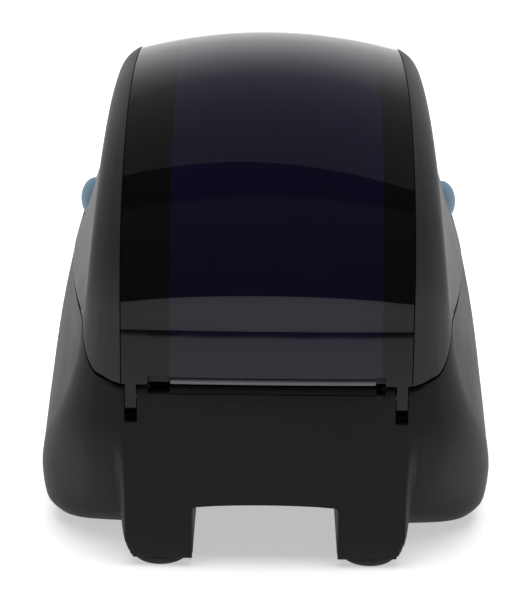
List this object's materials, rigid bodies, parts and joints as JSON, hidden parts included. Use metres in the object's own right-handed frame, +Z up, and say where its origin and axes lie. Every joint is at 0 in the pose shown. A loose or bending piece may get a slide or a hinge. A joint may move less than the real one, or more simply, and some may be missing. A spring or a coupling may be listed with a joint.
{
  "type": "label maker",
  "caption": "Desktop thermal label maker with a rear-hinged lid, smoked window, side release buttons, label guides and a geared platen.",
  "frame": {"origin": "on the floor, under the middle of the case", "axes": "+Z up, -Y towards the front where labels come out, +Y towards the hinge and cables, +X to the left side seen from behind"},
  "size_m": [0.148, 0.2114, 0.146],
  "materials": {
    "case_plastic": "fine matt moulded texture, near black",
    "lid_plastic": "fine matt moulded texture, near black",
    "smoked_panel": "smoked, polished, slightly see-through",
    "button_plastic": "pale steel blue, satin",
    "foot_rubber": "matt black",
    "steel": "bright",
    "chassis_metal": "dark plated",
    "heatsink_aluminium": "satin",
    "nylon": "natural white",
    "brass": "turned",
    "circuit_board": "green solder mask",
    "light_guide": "clear tinted"
  },
  "bodies": {
    "base": {"lower_case": "case_plastic", "bottom_cover": "case_plastic", "usb_port": "steel", "power_jack": "case_plastic", "power_switch_frame": "case_plastic", "main_board": "circuit_board", "roll_bin": "case_plastic", "mech_frame": "chassis_metal", "motor_body": "chassis_metal", "media_deck": "case_plastic", "gap_sensor": "case_plastic", "panel_board": "circuit_board", "feed_switch": "case_plastic", "idler_axle": "steel", "pinion_post": "steel", "foot_rear_left": "foot_rubber", "foot_rear_right": "foot_rubber", "foot_front_left": "foot_rubber", "foot_front_right": "foot_rubber", "status_light_left": "light_guide", "status_light_right": "light_guide", "hinge_bracket_left": "case_plastic", "hinge_bracket_right": "case_plastic", "hinge_pin_left": "steel", "hinge_pin_right": "steel", "platen_bush_left": "nylon", "platen_bush_right": "nylon", "latch_ledge_left": "case_plastic", "latch_ledge_right": "case_plastic", "case_screw_1": "steel", "case_screw_2": "steel", "case_screw_3": "steel", "case_screw_4": "steel"},
    "lid": {"lid_shell": "lid_plastic", "lid_window": "smoked_panel", "head_beam": "lid_plastic", "tear_bar": "steel", "head_spring_left": "steel", "head_spring_right": "steel", "latch_pin_left": "steel", "latch_pin_right": "steel"},
    "head": {"print_head": "chassis_metal", "head_bracket": "steel", "head_heatsink": "heatsink_aluminium"},
    "release_button_left": {"release_button_left": "button_plastic"},
    "release_button_right": {"release_button_right": "button_plastic"},
    "latch_hook_left": {"latch_hook_left": "case_plastic"},
    "latch_hook_right": {"latch_hook_right": "case_plastic"},
    "feed_button": {"feed_button": "button_plastic"},
    "power_rocker": {"power_rocker": "case_plastic"},
    "guide_left": {"guide_left": "case_plastic"},
    "guide_right": {"guide_right": "case_plastic"},
    "guide_pinion": {"guide_pinion": "nylon"},
    "platen": {"platen_shaft": "steel", "platen_roller": "foot_rubber", "platen_gear": "nylon"},
    "idler_gear": {"idler_gear": "nylon"},
    "motor_pinion": {"motor_pinion": "brass"}
  },
  "joints": [
    {"name": "lid_hinge", "type": "hinge", "parent": "base", "child": "lid", "pos_m": [0, 0.0966, 0.0555], "axis": [-1, 0, 0], "range_deg": [0, 80]},
    {"name": "release_button_left_press", "type": "slide", "parent": "lid", "child": "release_button_left", "axis": [-1, 0, 0], "range_m": [0, 0.0025], "stiffness_N_per_m": 600},
    {"name": "latch_hook_left_turn", "type": "hinge", "parent": "lid", "child": "latch_hook_left", "pos_m": [0.05, 0, 0.102], "axis": [0, 1, 0], "range_deg": [0, 12]},
    {"name": "release_button_right_press", "type": "slide", "parent": "lid", "child": "release_button_right", "axis": [1, 0, 0], "range_m": [0, 0.0025], "stiffness_N_per_m": 600},
    {"name": "latch_hook_right_turn", "type": "hinge", "parent": "lid", "child": "latch_hook_right", "pos_m": [-0.05, 0, 0.102], "axis": [0, -1, 0], "range_deg": [0, 12]},
    {"name": "head_float", "type": "slide", "parent": "lid", "child": "head", "axis": [0, 0, 1], "range_m": [0, 0.001], "stiffness_N_per_m": 4000, "deforming": ["head_spring_left", "head_spring_right"]},
    {"name": "feed_button_press", "type": "slide", "parent": "base", "child": "feed_button", "axis": [0, 1, 0], "range_m": [0, 0.0007], "stiffness_N_per_m": 500},
    {"name": "power_rocker_tilt", "type": "hinge", "parent": "base", "child": "power_rocker", "pos_m": [-0.01475, 0.0405, 0.014], "axis": [1, 0, 0], "range_deg": [0, 12]},
    {"name": "guide_left_slide", "type": "slide", "parent": "base", "child": "guide_left", "axis": [-1, 0, 0], "range_m": [0, 0.022]},
    {"name": "guide_right_slide", "type": "slide", "parent": "base", "child": "guide_right", "axis": [1, 0, 0], "range_m": [0, 0.022]},
    {"name": "guide_pinion_turn", "type": "hinge", "parent": "base", "child": "guide_pinion", "pos_m": [0, -0.02, 0.0615], "axis": [0, 0, 1], "range_deg": [0, 253]},
    {"name": "platen_spin", "type": "hinge", "parent": "base", "child": "platen", "pos_m": [0, -0.09, 0.0718], "axis": [1, 0, 0], "continuous": true},
    {"name": "idler_spin", "type": "hinge", "parent": "base", "child": "idler_gear", "pos_m": [0.047, -0.076, 0.0625], "axis": [1, 0, 0], "continuous": true},
    {"name": "motor_spin", "type": "hinge", "parent": "base", "child": "motor_pinion", "pos_m": [0.047, -0.063, 0.0563], "axis": [1, 0, 0], "continuous": true}
  ],
  "couplings": [
    {"joint": "latch_hook_left_turn", "follows": "release_button_left_press", "rad_per_m": 80},
    {"joint": "latch_hook_right_turn", "follows": "release_button_right_press", "rad_per_m": 80},
    {"joint": "guide_right_slide", "follows": "guide_left_slide", "ratio": 1},
    {"joint": "guide_pinion_turn", "follows": "guide_left_slide", "rad_per_m": 200},
    {"joint": "idler_spin", "follows": "platen_spin", "ratio": -0.75},
    {"joint": "motor_spin", "follows": "platen_spin", "ratio": 1.5}
  ]
}
